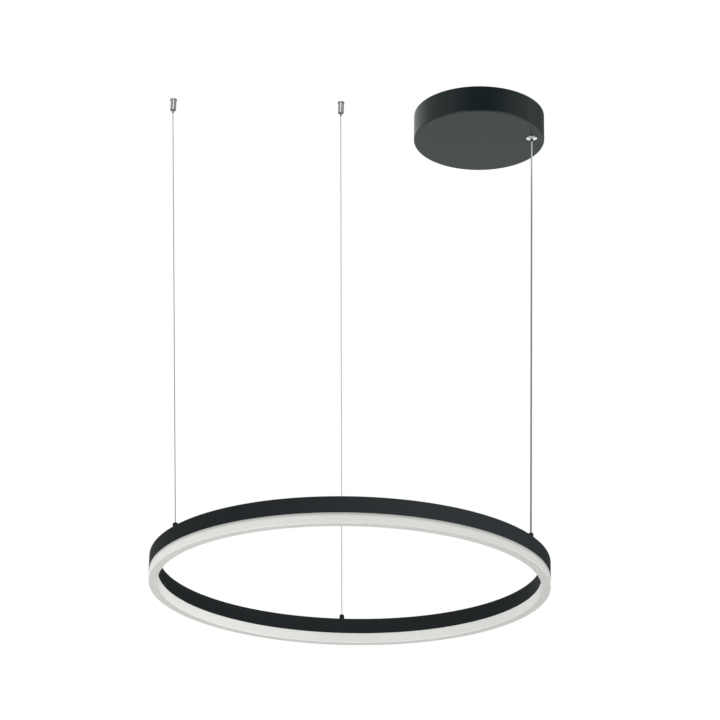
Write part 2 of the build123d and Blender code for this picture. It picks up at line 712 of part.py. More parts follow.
# Feed leads from the power connector straight down to the strip
leads = [rod(feed_lead_d, shelf_low, ring_top + stud_up, 0, side * feed_lead_pitch / 2) for side in (-1, 1)]
save("feed_leads", *[on_ring(lead, feed_angle) for lead in leads])
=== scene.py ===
import math

import bpy
from mathutils import Matrix, Vector


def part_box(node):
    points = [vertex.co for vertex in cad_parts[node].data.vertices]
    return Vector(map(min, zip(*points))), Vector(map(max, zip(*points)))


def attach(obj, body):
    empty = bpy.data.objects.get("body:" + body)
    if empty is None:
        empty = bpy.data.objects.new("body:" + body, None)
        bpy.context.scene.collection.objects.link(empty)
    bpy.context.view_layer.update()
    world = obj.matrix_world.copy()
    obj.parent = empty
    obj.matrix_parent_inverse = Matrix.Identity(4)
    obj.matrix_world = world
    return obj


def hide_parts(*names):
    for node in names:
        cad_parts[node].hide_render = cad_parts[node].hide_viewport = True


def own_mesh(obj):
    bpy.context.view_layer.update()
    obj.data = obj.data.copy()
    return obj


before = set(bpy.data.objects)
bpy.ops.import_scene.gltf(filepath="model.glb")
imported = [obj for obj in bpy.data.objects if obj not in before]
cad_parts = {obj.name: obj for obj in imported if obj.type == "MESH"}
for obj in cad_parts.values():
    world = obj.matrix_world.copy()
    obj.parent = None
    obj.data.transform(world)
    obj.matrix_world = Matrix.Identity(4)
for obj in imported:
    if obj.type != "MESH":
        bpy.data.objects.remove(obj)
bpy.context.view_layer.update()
scene = bpy.context.scene


# Camera. It stands low in the room, 3.8 m in front of the pendant, and looks up at it by 22 degrees
# through a long lens, so the underside of the ring and of the canopy both show.
camera = bpy.data.objects.new("camera", bpy.data.cameras.new("camera"))
camera.data.lens = 134.25
camera.data.sensor_width = 36.0
camera.data.clip_start = 0.05
camera.data.clip_end = 60.0
stand = Matrix.Translation((-0.39162, -3.84936, -2.02045))
turn_right = Matrix.Rotation(math.radians(-3.065), 4, "Z")
look_up = Matrix.Rotation(math.radians(90.0 + 22.384), 4, "X")
lean = Matrix.Rotation(math.radians(1.051), 4, "Z")
camera.matrix_world = stand @ turn_right @ look_up @ lean
scene.collection.objects.link(camera)
scene.camera = camera


# Studio. A tent that is pale below and dark above the camera, and behind the pendant white on the left
# and dark on the right. A large soft light hangs overhead, with a second one for the floor alone, and a
# softbox stands at each side of the camera. The backdrop is plain white.
def add(tree, kind, inputs=None, **settings):
    """Adds a node, with its settings and with its inputs as values or as sockets to link."""
    made = tree.nodes.new(kind)
    for name, value in settings.items():
        setattr(made, name, value)
    for name, value in (inputs or {}).items():
        if isinstance(value, bpy.types.NodeSocket):
            tree.links.new(value, made.inputs[name])
        else:
            made.inputs[name].default_value = value
    return made


def linear(code):
    """The linear colour, with alpha, of an sRGB hex code."""
    parts = [int(code[i:i + 2], 16) / 255 for i in (1, 3, 5)]
    return (*[c / 12.92 if c <= 0.04045 else ((c + 0.055) / 1.055) ** 2.4 for c in parts], 1.0)


def new_material(name):
    """An empty material and its node tree."""
    material = bpy.data.materials.new(name)
    material.use_nodes = True
    material.node_tree.nodes.clear()
    return material, material.node_tree


scene.view_settings.view_transform = "Standard"
world = bpy.data.worlds.new("grey tent, white backdrop")
scene.world = world
world.use_nodes = True
tent = world.node_tree
tent.nodes.clear()
toward = add(tent, "ShaderNodeTexCoord")
way = add(tent, "ShaderNodeSeparateXYZ", {"Vector": toward.outputs["Generated"]})
upper = add(tent, "ShaderNodeMapRange", {"Value": way.outputs["Y"], "From Min": -0.95, "From Max": -0.45,
                                         "To Min": 0.09, "To Max": 0.52}, interpolation_type="SMOOTHSTEP")
flag = add(tent, "ShaderNodeMapRange", {"Value": way.outputs["X"], "From Min": -0.05, "From Max": 0.30,
                                        "To Min": 0.78, "To Max": 0.18}, interpolation_type="SMOOTHSTEP")
sides = add(tent, "ShaderNodeMapRange", {"Value": way.outputs["Y"], "From Min": 0.10, "From Max": 0.60,
                                         "To Min": upper.outputs["Result"], "To Max": flag.outputs["Result"]},
            interpolation_type="SMOOTHSTEP")
light = add(tent, "ShaderNodeMapRange", {"Value": way.outputs["Z"], "From Min": -0.15, "From Max": 0.05,
                                         "To Min": 0.72, "To Max": sides.outputs["Result"]},
            interpolation_type="SMOOTHSTEP")
lit = add(tent, "ShaderNodeBackground", {"Color": linear("#ffffff"), "Strength": light.outputs["Result"]})
seen = add(tent, "ShaderNodeBackground", {"Color": linear("#ffffff"), "Strength": 1.0})
ray = add(tent, "ShaderNodeLightPath")
mixed = add(tent, "ShaderNodeMixShader", {0: ray.outputs["Is Camera Ray"], 1: lit.outputs[0],
                                          2: seen.outputs[0]})
add(tent, "ShaderNodeOutputWorld", {"Surface": mixed.outputs[0]})

floor_z = -3.2      # a high room's floor under the ceiling that the pendant hangs from
floor_r = 2.2
floor_sides = 96
rim = [2 * math.pi * k / floor_sides for k in range(floor_sides)]
floor_mesh = bpy.data.meshes.new("floor")
floor_mesh.from_pydata([(floor_r * math.cos(a), floor_r * math.sin(a), floor_z) for a in rim], [],
                       [range(floor_sides)])
floor = bpy.data.objects.new("floor", floor_mesh)
scene.collection.objects.link(floor)
floor_paint, tree = new_material("matt floor paint")
paint = add(tree, "ShaderNodeBsdfPrincipled", {"Base Color": linear("#e4e4e2"), "Roughness": 0.8})
add(tree, "ShaderNodeOutputMaterial", {"Surface": paint.outputs[0]})
floor_mesh.materials.append(floor_paint)


def lamp(name, spot, aim, wide, tall, watts, only=()):
    """A flat soft light at one point that faces another, kept to the objects given, if any."""
    made = bpy.data.objects.new(name, bpy.data.lights.new(name, "AREA"))
    made.data.shape = "RECTANGLE"
    made.data.size = wide
    made.data.size_y = tall
    made.data.energy = watts
    facing = (Vector(aim) - Vector(spot)).to_track_quat("-Z", "Y").to_matrix().to_4x4()
    made.matrix_world = Matrix.Translation(spot) @ facing
    scene.collection.objects.link(made)
    if only:
        kept_to = bpy.data.collections.new(f"lit by {name}")
        for piece in only:
            kept_to.objects.link(piece)
        made.light_linking.receiver_collection = kept_to
    return made


lamp("overhead", spot=(0.0, 0.0, 2.4), aim=(0.0, 0.0, floor_z), wide=3.0, tall=3.0, watts=36.0)
lamp("floor_light", spot=(0.0, 0.0, 2.3), aim=(0.0, 0.0, floor_z), wide=3.0, tall=3.0, watts=130.0,
     only=[floor])
lamp("softbox_left", spot=(-2.4, -2.4, -1.7), aim=(-0.2, 0.0, -0.7), wide=1.4, tall=1.0, watts=29.0)
lamp("softbox_right", spot=(2.0, -2.4, -1.7), aim=(-0.2, 0.0, -0.7), wide=1.4, tall=1.0, watts=29.0)


# Ceiling plate. A disc of 1.5 mm steel sheet, punched with two slots and a cable hole, with a tab bent
# down at each side, zinc plated. Two ceiling screws hold it up, and the canopy and all that is in it hang
# from it.
def dress(material, *nodes):
    """Gives CAD nodes a material."""
    for node in nodes:
        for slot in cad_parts[node].material_slots:
            slot.material = material


# Bright zinc on rolled steel: a cool grey metal with pale clouds. The rolling lines, about 0.1 mm apart,
# are drawn 0.6 mm apart to show. Here and below, a pattern's scale is one over its size in metres.
rolling_gap = 0.0006
rolling_run = 0.03
zinc, tree = new_material("bright zinc plate on rolled steel")
place = add(tree, "ShaderNodeTexCoord")
rolled = add(tree, "ShaderNodeMapping", {"Vector": place.outputs["Object"],
                                         "Scale": (1 / rolling_run, 1 / rolling_gap, 1 / rolling_gap)})
lines = add(tree, "ShaderNodeTexNoise", {"Vector": rolled.outputs["Vector"], "Scale": 1.0, "Detail": 2.0})
cloud = add(tree, "ShaderNodeTexNoise", {"Vector": place.outputs["Object"], "Scale": 1 / 0.02, "Detail": 3.0})
tone = add(tree, "ShaderNodeMix", {"Factor": cloud.outputs["Fac"], "A": linear("#a4aaae"),
                                   "B": linear("#c3c8ca")}, data_type="RGBA")
dull = add(tree, "ShaderNodeMapRange", {"Value": lines.outputs["Fac"], "To Min": 0.28, "To Max": 0.44})
bumps = add(tree, "ShaderNodeBump", {"Height": lines.outputs["Fac"], "Strength": 0.10, "Distance": 0.0001})
plated = add(tree, "ShaderNodeBsdfPrincipled", {"Base Color": tone.outputs["Result"], "Metallic": 1.0,
                                                "Roughness": dull.outputs["Result"],
                                                "Normal": bumps.outputs["Normal"]})
add(tree, "ShaderNodeOutputMaterial", {"Surface": plated.outputs[0]})
dress(zinc, "ceiling_plate")


# LED driver. A white moulded case hangs under the plate by two ears and two screws. Its lid carries a
# circuit board with a transformer, two capacitors and a terminal at each end.
# Polycarbonate out of a spark-eroded mould: an even white with a fine grain, 0.2 mm, drawn at 0.8 mm.
polycarbonate, tree = new_material("moulded white polycarbonate")
place = add(tree, "ShaderNodeTexCoord")
grain = add(tree, "ShaderNodeTexNoise", {"Vector": place.outputs["Object"], "Scale": 1 / 0.0008,
                                         "Detail": 1.0})
cloud = add(tree, "ShaderNodeTexNoise", {"Vector": place.outputs["Object"], "Scale": 1 / 0.03, "Detail": 2.0})
tone = add(tree, "ShaderNodeMix", {"Factor": cloud.outputs["Fac"], "A": linear("#e2e3e0"),
                                   "B": linear("#ecece8")}, data_type="RGBA")
gloss = add(tree, "ShaderNodeMapRange", {"Value": grain.outputs["Fac"], "To Min": 0.38, "To Max": 0.52})
bumps = add(tree, "ShaderNodeBump", {"Height": grain.outputs["Fac"], "Strength": 0.15, "Distance": 0.0001})
moulded = add(tree, "ShaderNodeBsdfPrincipled", {"Base Color": tone.outputs["Result"], "IOR": 1.58,
                                                 "Roughness": gloss.outputs["Result"],
                                                 "Normal": bumps.outputs["Normal"]})
add(tree, "ShaderNodeOutputMaterial", {"Surface": moulded.outputs[0]})
dress(polycarbonate, "driver_case", "driver_lid")

# Glass epoxy under green solder mask: the copper tracks, 1.5 mm apart, show through as paler lanes.
board, tree = new_material("green solder mask on glass epoxy")
place = add(tree, "ShaderNodeTexCoord")
tracks = add(tree, "ShaderNodeTexBrick", {"Vector": place.outputs["Object"], "Scale": 1.0,
                                          "Brick Width": 0.012, "Row Height": 0.0015, "Mortar Size": 0.0003,
                                          "Color1": linear("#1b5633"), "Color2": linear("#22633c"),
                                          "Mortar": linear("#357f52")})
film = add(tree, "ShaderNodeTexNoise", {"Vector": place.outputs["Object"], "Scale": 1 / 0.004, "Detail": 2.0})
gloss = add(tree, "ShaderNodeMapRange", {"Value": film.outputs["Fac"], "To Min": 0.26, "To Max": 0.36})
mask = add(tree, "ShaderNodeBsdfPrincipled", {"Base Color": tracks.outputs["Color"],
                                              "Roughness": gloss.outputs["Result"]})
add(tree, "ShaderNodeOutputMaterial", {"Surface": mask.outputs[0]})
dress(board, "driver_board")

# Transformer: a dark sintered ferrite core, with a winding at both faces under yellow polyester tape.
board_low, board_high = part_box("driver_board")
driver_y = (board_low.y + board_high.y) / 2
core_half = 0.006
past_core = 0.0001      # the tape starts this far beyond the core's faces
ferrite, tree = new_material("sintered ferrite and polyester tape")
place = add(tree, "ShaderNodeTexCoord")
spot = add(tree, "ShaderNodeSeparateXYZ", {"Vector": place.outputs["Object"]})
aside = add(tree, "ShaderNodeMath", {0: spot.outputs["Y"], 1: driver_y}, operation="SUBTRACT")
reach = add(tree, "ShaderNodeMath", {0: aside.outputs[0]}, operation="ABSOLUTE")
taped = add(tree, "ShaderNodeMath", {0: reach.outputs[0], 1: core_half + past_core}, operation="GREATER_THAN")
grit = add(tree, "ShaderNodeTexNoise", {"Vector": place.outputs["Object"], "Scale": 1 / 0.0007,
                                        "Detail": 3.0})
core = add(tree, "ShaderNodeMix", {"Factor": grit.outputs["Fac"], "A": linear("#29292b"),
                                   "B": linear("#39393b")}, data_type="RGBA")
tone = add(tree, "ShaderNodeMix", {"Factor": taped.outputs[0], "A": core.outputs["Result"],
                                   "B": linear("#c79a2c")}, data_type="RGBA")
gloss = add(tree, "ShaderNodeMapRange", {"Value": taped.outputs[0], "To Min": 0.62, "To Max": 0.30})
wound = add(tree, "ShaderNodeBsdfPrincipled", {"Base Color": tone.outputs["Result"],
                                               "Roughness": gloss.outputs["Result"]})
add(tree, "ShaderNodeOutputMaterial", {"Surface": wound.outputs[0]})
dress(ferrite, "driver_transformer")

# Capacitors: aluminium cans in a dark blue shrink sleeve that leaves the top bare.
can_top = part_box("driver_capacitors")[1].z
bare_rim = 0.0003       # the sleeve ends this far under the top
sleeve, tree = new_material("shrink sleeve on aluminium cans")
place = add(tree, "ShaderNodeTexCoord")
spot = add(tree, "ShaderNodeSeparateXYZ", {"Vector": place.outputs["Object"]})
bare = add(tree, "ShaderNodeMath", {0: spot.outputs["Z"], 1: can_top - bare_rim}, operation="GREATER_THAN")
crease = add(tree, "ShaderNodeTexNoise", {"Vector": place.outputs["Object"], "Scale": 1 / 0.004,
                                          "Detail": 2.0})
skin = add(tree, "ShaderNodeMix", {"Factor": crease.outputs["Fac"], "A": linear("#1b2146"),
                                   "B": linear("#252c58")}, data_type="RGBA")
tone = add(tree, "ShaderNodeMix", {"Factor": bare.outputs[0], "A": skin.outputs["Result"],
                                   "B": linear("#bfc1c3")}, data_type="RGBA")
can = add(tree, "ShaderNodeBsdfPrincipled", {"Base Color": tone.outputs["Result"],
                                             "Metallic": bare.outputs[0], "Roughness": 0.28})
add(tree, "ShaderNodeOutputMaterial", {"Surface": can.outputs[0]})
dress(sleeve, "driver_capacitors")

# The fixing screws are zinc plated like the plate.
dress(zinc, "driver_screws")


# Terminals. The mains block and the output connector are moulded from polyamide and hold the leads by
# clamp screws. The block is screwed to the plate, and the driver's two board terminals are of the same
# plastic.
# Natural polyamide: a waxy cream that lets light in a little.
polyamide, tree = new_material("moulded natural polyamide")
place = add(tree, "ShaderNodeTexCoord")
cloud = add(tree, "ShaderNodeTexNoise", {"Vector": place.outputs["Object"], "Scale": 1 / 0.008,
                                         "Detail": 2.0})
tone = add(tree, "ShaderNodeMix", {"Factor": cloud.outputs["Fac"], "A": linear("#dcd9cd"),
                                   "B": linear("#e8e5da")}, data_type="RGBA")
gloss = add(tree, "ShaderNodeMapRange", {"Value": cloud.outputs["Fac"], "To Min": 0.40, "To Max": 0.52})
waxy = add(tree, "ShaderNodeBsdfPrincipled", {"Base Color": tone.outputs["Result"], "IOR": 1.53,
                                              "Roughness": gloss.outputs["Result"], "Subsurface Weight": 0.1,
                                              "Subsurface Radius": (0.001, 0.001, 0.001),
                                              "Subsurface Scale": 1.0})
add(tree, "ShaderNodeOutputMaterial", {"Surface": waxy.outputs[0]})
dress(polyamide, "terminal_block", "output_connector", "driver_terminals")
dress(zinc, "terminal_clamp_screws", "terminal_screw")


# Leads in the canopy. Single cores in PVC: brown and blue from the mains block to the driver, red and
# black from the driver to the output connector. Each pair runs side by side round one corner.
def insulation(name, one, two):
    """Soft PVC in two colours; the factor that parts them is linked by the caller."""
    made, tree = new_material(name)
    place = add(tree, "ShaderNodeTexCoord")
    shade = add(tree, "ShaderNodeTexNoise", {"Vector": place.outputs["Object"], "Scale": 1 / 0.006,
                                             "Detail": 2.0})
    gloss = add(tree, "ShaderNodeMapRange", {"Value": shade.outputs["Fac"], "To Min": 0.36, "To Max": 0.50})
    tone = add(tree, "ShaderNodeMix", {"A": linear(one), "B": linear(two)}, data_type="RGBA")
    soft = add(tree, "ShaderNodeBsdfPrincipled", {"Base Color": tone.outputs["Result"], "IOR": 1.53,
                                                  "Roughness": gloss.outputs["Result"]})
    add(tree, "ShaderNodeOutputMaterial", {"Surface": soft.outputs[0]})
    return made, tree, place, tone.inputs["Factor"]


lead_pitch = 0.007
block_low, block_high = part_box("terminal_block")
joint_low, joint_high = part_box("output_connector")
between = 0.001     # the parting line, nearer to the inner lead because both bends have one radius
mains_x = -(block_low.x + block_high.x) / 2 + lead_pitch / 2 - between
output_x = (joint_low.x + joint_high.x) / 2 - between
for node, inner, outer, column in (("mains_leads", "#6b3d20", "#1f4f9c", mains_x),
                                   ("output_leads", "#a3201f", "#1a1a1b", output_x)):
    skin, tree, place, factor = insulation(f"soft PVC on the {node.replace('_', ' ')}", inner, outer)
    spot = add(tree, "ShaderNodeSeparateXYZ", {"Vector": place.outputs["Object"]})
    behind = add(tree, "ShaderNodeMath", {0: spot.outputs["Y"], 1: driver_y - between}, operation="SUBTRACT")
    reach = add(tree, "ShaderNodeMath", {0: spot.outputs["X"]}, operation="ABSOLUTE")
    beside = add(tree, "ShaderNodeMath", {0: reach.outputs[0], 1: column}, operation="SUBTRACT")
    past = add(tree, "ShaderNodeMath", {0: behind.outputs[0], 1: beside.outputs[0]}, operation="MAXIMUM")
    outside = add(tree, "ShaderNodeMath", {0: past.outputs[0], 1: 0.0}, operation="GREATER_THAN")
    tree.links.new(outside.outputs[0], factor)
    dress(skin, node)


# Earth. A brass stud in the plate holds a crimped lug between two nuts, with a green and yellow lead to
# the block.
# Plain turned brass: a warm yellow metal. The rings that the turning tool leaves, about 0.2 mm apart, are
# drawn 1.6 mm apart to show. A wave texture runs through 20 radians in a unit of its scale.
ring_gap = 0.0016
brass, tree = new_material("plain turned brass")
place = add(tree, "ShaderNodeTexCoord")
rings = add(tree, "ShaderNodeTexWave", {"Vector": place.outputs["Object"], "Distortion": 0.4, "Detail": 1.0,
                                        "Scale": 2 * math.pi / (20 * ring_gap)},
            wave_type="BANDS", bands_direction="Z")
stain = add(tree, "ShaderNodeTexNoise", {"Vector": place.outputs["Object"], "Scale": 1 / 0.004,
                                         "Detail": 3.0})
tone = add(tree, "ShaderNodeMix", {"Factor": stain.outputs["Fac"], "A": linear("#b5914d"),
                                   "B": linear("#ceac69")}, data_type="RGBA")
dull = add(tree, "ShaderNodeMapRange", {"Value": stain.outputs["Fac"], "To Min": 0.36, "To Max": 0.22})
bumps = add(tree, "ShaderNodeBump", {"Height": rings.outputs["Fac"], "Strength": 0.05, "Distance": 0.0001})
turned = add(tree, "ShaderNodeBsdfPrincipled", {"Base Color": tone.outputs["Result"], "Metallic": 1.0,
                                                "Roughness": dull.outputs["Result"],
                                                "Normal": bumps.outputs["Normal"]})
add(tree, "ShaderNodeOutputMaterial", {"Surface": turned.outputs[0]})
dress(brass, "earth_stud", "earth_nuts", "earth_lug")

# The lead's yellow stripe covers one side.
earth_low, earth_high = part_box("earth_lead")
skin, tree, place, factor = insulation("soft PVC on the earth lead", "#3c8a38", "#dcc52c")
spot = add(tree, "ShaderNodeSeparateXYZ", {"Vector": place.outputs["Object"]})
striped = add(tree, "ShaderNodeMath", {0: spot.outputs["X"], 1: (earth_low.x + earth_high.x) / 2},
              operation="GREATER_THAN")
tree.links.new(striped.outputs[0], factor)
dress(skin, "earth_lead")


# Canopy cover. A cup drawn from 1.2 mm aluminium sheet and powder coated. A grub screw in each of the
# plate's tabs is turned out into a hole in the cup's wall and holds it up.
# Satin powder coat: a dark even film whose orange peel, about 0.6 mm across, is drawn at 2 mm to show.
canopy_coat, tree = new_material("satin anthracite powder coat on aluminium")
place = add(tree, "ShaderNodeTexCoord")
peel = add(tree, "ShaderNodeTexNoise", {"Vector": place.outputs["Object"], "Scale": 1 / 0.002, "Detail": 2.0})
cloud = add(tree, "ShaderNodeTexNoise", {"Vector": place.outputs["Object"], "Scale": 1 / 0.06, "Detail": 3.0})
tone = add(tree, "ShaderNodeMix", {"Factor": cloud.outputs["Fac"], "A": linear("#0b1617"),
                                   "B": linear("#0f1b1c")}, data_type="RGBA")
gloss = add(tree, "ShaderNodeMapRange", {"Value": cloud.outputs["Fac"], "To Min": 0.27, "To Max": 0.33})
bumps = add(tree, "ShaderNodeBump", {"Height": peel.outputs["Fac"], "Strength": 0.12, "Distance": 0.0002})
coat = add(tree, "ShaderNodeBsdfPrincipled", {"Base Color": tone.outputs["Result"],
                                              "Specular IOR Level": 0.48,
                                              "Specular Tint": linear("#f0fbfb"),
                                              "Roughness": gloss.outputs["Result"],
                                              "Normal": bumps.outputs["Normal"]})
add(tree, "ShaderNodeOutputMaterial", {"Surface": coat.outputs[0]})
dress(canopy_coat, "canopy_cover")

# Black oxide on alloy steel: an oily near-black with a faint brown cast.
black_oxide, tree = new_material("black oxide on alloy steel")
place = add(tree, "ShaderNodeTexCoord")
oil = add(tree, "ShaderNodeTexNoise", {"Vector": place.outputs["Object"], "Scale": 1 / 0.002, "Detail": 2.0})
tone = add(tree, "ShaderNodeMix", {"Factor": oil.outputs["Fac"], "A": linear("#262423"),
                                   "B": linear("#353231")}, data_type="RGBA")
dull = add(tree, "ShaderNodeMapRange", {"Value": oil.outputs["Fac"], "To Min": 0.34, "To Max": 0.48})
oiled = add(tree, "ShaderNodeBsdfPrincipled", {"Base Color": tone.outputs["Result"], "Metallic": 0.8,
                                               "Roughness": dull.outputs["Result"]})
add(tree, "ShaderNodeOutputMaterial", {"Surface": oiled.outputs[0]})
dress(black_oxide, "cover_screws")


# Cable outlet and wire anchors. Grippers turned from brass bar and nickel plated: three balls in a taper
# hold the line, and pressing the nipple up against its spring frees it. The outlet's nipple is plated
# black.
def nickel_plate(name, side, under, haze_low, haze_high):
    """Nickel on turned brass, with a tone at the sides, one on the faces that look down, which is painted
    shade where it is darker, and its haze.
    """
    made, tree = new_material(name)
    place = add(tree, "ShaderNodeTexCoord")
    rings = add(tree, "ShaderNodeTexWave", {"Vector": place.outputs["Object"], "Distortion": 0.4,
                                            "Detail": 1.0, "Scale": 2 * math.pi / (20 * ring_gap)},
                wave_type="BANDS", bands_direction="Z")
    haze = add(tree, "ShaderNodeTexNoise", {"Vector": place.outputs["Object"], "Scale": 1 / 0.003,
                                            "Detail": 2.0})
    dull = add(tree, "ShaderNodeMapRange", {"Value": haze.outputs["Fac"], "To Min": haze_low,
                                            "To Max": haze_high})
    bumps = add(tree, "ShaderNodeBump", {"Height": rings.outputs["Fac"], "Strength": 0.05,
                                         "Distance": 0.0001})
    # The faces that look down take the under tone: painted shade where it is darker than the sides.
    face = add(tree, "ShaderNodeSeparateXYZ", {"Vector": place.outputs["Normal"]})
    down_face = add(tree, "ShaderNodeMath", {0: face.outputs["Z"], 1: -0.2}, operation="LESS_THAN")
    tone = add(tree, "ShaderNodeMix", {"Factor": down_face.outputs[0], "A": linear(side), "B": linear(under)},
               data_type="RGBA")
    plated = add(tree, "ShaderNodeBsdfPrincipled", {"Base Color": tone.outputs["Result"], "Metallic": 1.0,
                                                    "Roughness": dull.outputs["Result"],
                                                    "Normal": bumps.outputs["Normal"]})
    add(tree, "ShaderNodeOutputMaterial", {"Surface": plated.outputs[0]})
    return made


# Nickel: a nearly neutral reflection with faint tool rings, drawn as far apart as on the brass. It is clear
# on the outlet and hazy on the anchors. On the anchors, painted shade makes the faces that look down darker
# and the cones, bases and nipples greyer than the barrels.
bright_nickel = nickel_plate("bright nickel plate on turned brass", "#d0d4d5", "#d0d4d5", 0.06, 0.10)
barrel_nickel = nickel_plate("nickel plate on the barrel, with painted shade below", "#c4c4c3", "#80807f", 0.20, 0.32)
shade_painted_nickel = nickel_plate("nickel plate on turned brass, greyer with painted shade", "#a0a09f", "#7a7a79", 0.20, 0.32)
dress(bright_nickel, "outlet_body")
dress(barrel_nickel, "left_anchor_barrel", "rear_anchor_barrel")
dress(shade_painted_nickel, "left_anchor_base", "rear_anchor_base", "left_anchor_nipple", "rear_anchor_nipple")
dress(brass, "outlet_nut", "outlet_plug", "left_anchor_plug", "rear_anchor_plug")

# Two lights are kept off all else: one above the camera, which the anchors show as a bright stripe, and
# one low behind the pendant, which the outlet's flange shows.
anchor_parts = [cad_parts[f"{side}_anchor_{part}"]
                for side in ("left", "rear") for part in ("barrel", "base", "nipple")]
lamp("stripe_light", spot=(-0.55, -2.6, 1.35), aim=(-0.36, 0.05, 0.0), wide=1.2, tall=0.8, watts=9.0,
     only=anchor_parts)
lamp("flange_light", spot=(0.50, 2.6, -1.35), aim=(0.08, 0.0, -0.05), wide=2.4, tall=1.4, watts=9.0,
     only=[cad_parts["outlet_body"]])

# Black nickel: nearly black, with a dim grey reflection.
black_nickel, tree = new_material("black nickel plate on turned brass")
place = add(tree, "ShaderNodeTexCoord")
haze = add(tree, "ShaderNodeTexNoise", {"Vector": place.outputs["Object"], "Scale": 1 / 0.002, "Detail": 2.0})
tone = add(tree, "ShaderNodeMix", {"Factor": haze.outputs["Fac"], "A": linear("#161617"),
                                   "B": linear("#232325")}, data_type="RGBA")
dull = add(tree, "ShaderNodeMapRange", {"Value": haze.outputs["Fac"], "To Min": 0.28, "To Max": 0.40})
plated = add(tree, "ShaderNodeBsdfPrincipled", {"Base Color": tone.outputs["Result"], "Metallic": 1.0,
                                                "Roughness": dull.outputs["Result"]})
add(tree, "ShaderNodeOutputMaterial", {"Surface": plated.outputs[0]})
dress(black_nickel, "outlet_nipple")

# Hard polished steel, on the balls and the springs: a clean bright grey with fine marks from use.
polished, tree = new_material("polished hard steel")
place = add(tree, "ShaderNodeTexCoord")
marks = add(tree, "ShaderNodeTexNoise", {"Vector": place.outputs["Object"], "Scale": 1 / 0.0006,
                                         "Detail": 3.0})
tone = add(tree, "ShaderNodeMix", {"Factor": marks.outputs["Fac"], "A": linear("#b3b5b7"),
                                   "B": linear("#c9cacb")}, data_type="RGBA")
dull = add(tree, "ShaderNodeMapRange", {"Value": marks.outputs["Fac"], "To Min": 0.10, "To Max": 0.24})
steel = add(tree, "ShaderNodeBsdfPrincipled", {"Base Color": tone.outputs["Result"], "Metallic": 1.0,
                                               "Roughness": dull.outputs["Result"]})
add(tree, "ShaderNodeOutputMaterial", {"Surface": steel.outputs[0]})
dress(polished, "outlet_balls", "left_anchor_balls", "rear_anchor_balls")


def follow(name, path, section):
    """A closed mesh tube along a path, with section(distance) as outline and the distance in its UVs."""
    tangent = (path[1] - path[0]).normalized()
    across = tangent.orthogonal().normalized()
    verts, rows, far = [], [], 0.0
    for i, point in enumerate(path):
        ahead = (path[min(i + 1, len(path) - 1)] - path[max(i - 1, 0)]).normalized()
        across = (tangent.rotation_difference(ahead) @ across).normalized()
        tangent = ahead
        other = tangent.cross(across)
        far += (point - path[i - 1]).length if i else 0.0
        outline = section(far)
        verts += [point + across * a + other * b for a, b in outline]
        rows.append(far)
    n = len(outline)
    faces = [(r * n + k, r * n + (k + 1) % n, (r + 1) * n + (k + 1) % n, (r + 1) * n + k)
             for r in range(len(path) - 1) for k in range(n)]
    spots = [((k + c) / n, rows[r + d]) for r in range(len(path) - 1) for k in range(n)
             for c, d in ((0, 0), (1, 0), (1, 1), (0, 1))]
    last = (len(path) - 1) * n
    faces += [tuple(range(n - 1, -1, -1)), tuple(range(last, last + n))]
    spots += [(0.0, 0.0)] * (2 * n)
    mesh = bpy.data.meshes.new(name)
    mesh.from_pydata(verts, [], faces)
    mesh.uv_layers.new(name="round_and_along").data.foreach_set("uv", [c for spot in spots for c in spot])
    mesh.shade_smooth()
    piece = bpy.data.objects.new(name, mesh)
    scene.collection.objects.link(piece)
    return piece


def round_section(d, sides):
    """A round outline for follow()."""
    outline = [(d / 2 * math.cos(2 * math.pi * k / sides), d / 2 * math.sin(2 * math.pi * k / sides))
               for k in range(sides)]
    return lambda far: outline


# The springs: round wire, four turns that close up at both ends, squeezed by the nipple's travel.
spring_wire = 0.0005
spring_turns = 4
coil_steps = 24 * spring_turns
closing = 0.5       # from 0, turns of even pitch, to 1, end turns that lie flat
for gripper in ("left_anchor", "rear_anchor", "outlet"):
    low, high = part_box(f"{gripper}_spring")
    middle = (low + high) / 2
    coil_r = (high.x - low.x - spring_wire) / 2
    rise = high.z - low.z - spring_wire
    helix = []
    for i in range(coil_steps + 1):
        t = i / coil_steps
        around = 2 * math.pi * spring_turns * t
        up = t - closing * math.sin(2 * math.pi * t) / (2 * math.pi)
        helix.append(Vector((middle.x + coil_r * math.cos(around), middle.y + coil_r * math.sin(around),
                             low.z + spring_wire / 2 + rise * up)))
    spring = follow(f"{gripper}_spring_coil", helix, round_section(spring_wire, sides=10))
    spring.data.materials.append(polished)
    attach(spring, "ceiling_fixings")
    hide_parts(f"{gripper}_spring")
    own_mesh(spring)


# Wires. Two bare steel ropes of 1.2 mm, six strands laid round a core, hold the ring up. Each is taut and
# straight from under its ceiling anchor to a swaged ball in the ring; its held end comes out of the anchor.
def route(name, points, steps):
    """Points along a smooth line through a route, read from its spline."""
    curve = bpy.data.curves.new(name, "CURVE")
    curve.dimensions = "3D"
    spline = curve.splines.new("NURBS")
    spline.points.add(len(points) - 1)
    for control, point in zip(spline.points, points):
        control.co = (*point, 1.0)
    spline.order_u = 3
    spline.use_endpoint_u = True
    spline.resolution_u = steps
    carrier = bpy.data.objects.new(name, curve)
    drawn = bpy.data.meshes.new_from_object(carrier)
    path = [v.co.copy() for v in drawn.vertices]
    bpy.data.meshes.remove(drawn)
    bpy.data.objects.remove(carrier)
    bpy.data.curves.remove(curve)
    return path


rope_d = 0.0012
rope_lay = 0.012        # a real lay is about 8 mm; drawn longer so that the strands show
rope_sides = 24
strands = 6
strand_depth = 0.06     # half the depth of the groove between strands, as a share of the rope's radius


def rope_section(far):
    """Six strands round a core, turned by the lay."""
    ring = []
    for k in range(rope_sides):
        around = 2 * math.pi * (k / rope_sides + far / rope_lay)
        crown = math.cos(strands * 2 * math.pi * k / rope_sides)
        reach = rope_d / 2 * (1 - strand_depth + strand_depth * crown)
        ring.append((reach * math.cos(around), reach * math.sin(around)))
    return ring


